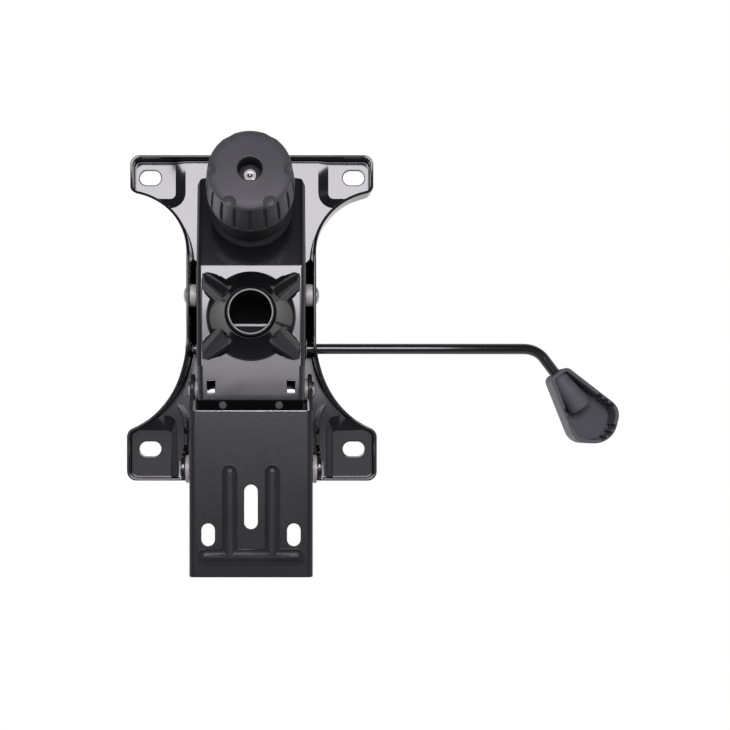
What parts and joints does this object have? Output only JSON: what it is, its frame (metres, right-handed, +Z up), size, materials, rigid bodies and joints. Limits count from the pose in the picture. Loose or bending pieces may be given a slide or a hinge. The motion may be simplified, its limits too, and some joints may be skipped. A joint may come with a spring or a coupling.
{
  "type": "office chair tilt mechanism",
  "caption": "Pressed-steel synchro tilt mechanism for an office chair, with seat plate, gas-lift socket, tension knob, back bracket and a cranked lever.",
  "frame": {"origin": "middle of the gas-lift socket's mouth, on the socket's axis", "axes": "+Z up to the seat, +X to the lever's side, +Y to the backrest, -Y to the tension knob"},
  "size_m": [0.3496, 0.3008, 0.1093],
  "materials": {
    "black_steel": "semi-gloss black powder coat",
    "dark_steel": "black coated steel",
    "zinc_steel": "zinc plated",
    "spring_steel": "oiled spring wire",
    "nylon": "natural nylon",
    "knob_plastic": "fine-grained black moulding",
    "sleeve_plastic": "ribbed black moulding",
    "rubber": "matt black rubber"
  },
  "bodies": {
    "housing": {"housing": "black_steel", "taper_bush": "dark_steel", "bush_bridge": "dark_steel", "lever_bushes": "nylon", "back_pivot_rivets": "zinc_steel", "back_pivot_washers": "nylon", "upright_buffer": "rubber", "buffer_rivets": "zinc_steel", "spring_sleeve": "sleeve_plastic", "spring_seat": "dark_steel", "tension_spring": "spring_steel"},
    "seat": {"seat_plate": "black_steel", "left_ear": "black_steel", "right_ear": "black_steel", "seat_pivot_rivets": "zinc_steel", "seat_pivot_washers": "nylon", "bolt_anchor": "dark_steel"},
    "back": {"back_bracket": "black_steel", "link_pins": "zinc_steel", "link_washers": "nylon"},
    "tension_bolt": {"tension_bolt": "zinc_steel"},
    "knob_carrier": {"thrust_washer": "zinc_steel"},
    "knob": {"tension_knob": "knob_plastic", "knob_nut": "dark_steel"},
    "lever_slider": {"detent_sleeve": "nylon"},
    "lever": {"lever_rod": "dark_steel", "actuator_tab": "dark_steel", "lever_paddle": "knob_plastic", "lever_clips": "zinc_steel"}
  },
  "joints": [
    {"name": "back_tilt", "type": "hinge", "parent": "housing", "child": "back", "pos_m": [0, 0.0495, 0.048], "axis": [-1, 0, 0], "range_deg": [0, 20], "stiffness_Nm_per_rad": 39, "springref_deg": -21.77},
    {"name": "seat_tilt", "type": "hinge", "parent": "housing", "child": "seat", "pos_m": [0, -0.017, 0.048], "axis": [-1, 0, 0], "range_deg": [0, 9.2]},
    {"name": "tension_slide", "type": "slide", "parent": "housing", "child": "tension_bolt", "axis": [0, 0.1865, 0.9825], "range_m": [0, 0.0087], "deforming": ["tension_spring"]},
    {"name": "knob_feed", "type": "slide", "parent": "tension_bolt", "child": "knob_carrier", "axis": [0, 0.1865, 0.9825], "range_m": [0, 0.00501]},
    {"name": "knob_turn", "type": "hinge", "parent": "knob_carrier", "child": "knob", "pos_m": [0, -0.0755, 0.03469], "axis": [0, 0.1865, 0.9825], "range_deg": [0, 1440]},
    {"name": "lever_slide", "type": "slide", "parent": "housing", "child": "lever_slider", "axis": [-1, 0, 0], "range_m": [0, 0.008]},
    {"name": "lever_lift", "type": "hinge", "parent": "lever_slider", "child": "lever", "pos_m": [0, 0.0203, 0.053], "axis": [1, 0, 0], "range_deg": [0, 12]}
  ],
  "couplings": [
    {"joint": "seat_tilt", "follows": "back_tilt", "ratio": 0.45714},
    {"joint": "tension_slide", "follows": "back_tilt", "m_per_rad": 0.024586},
    {"joint": "knob_feed", "follows": "knob_turn", "m_per_rad": 0.00019894}
  ]
}
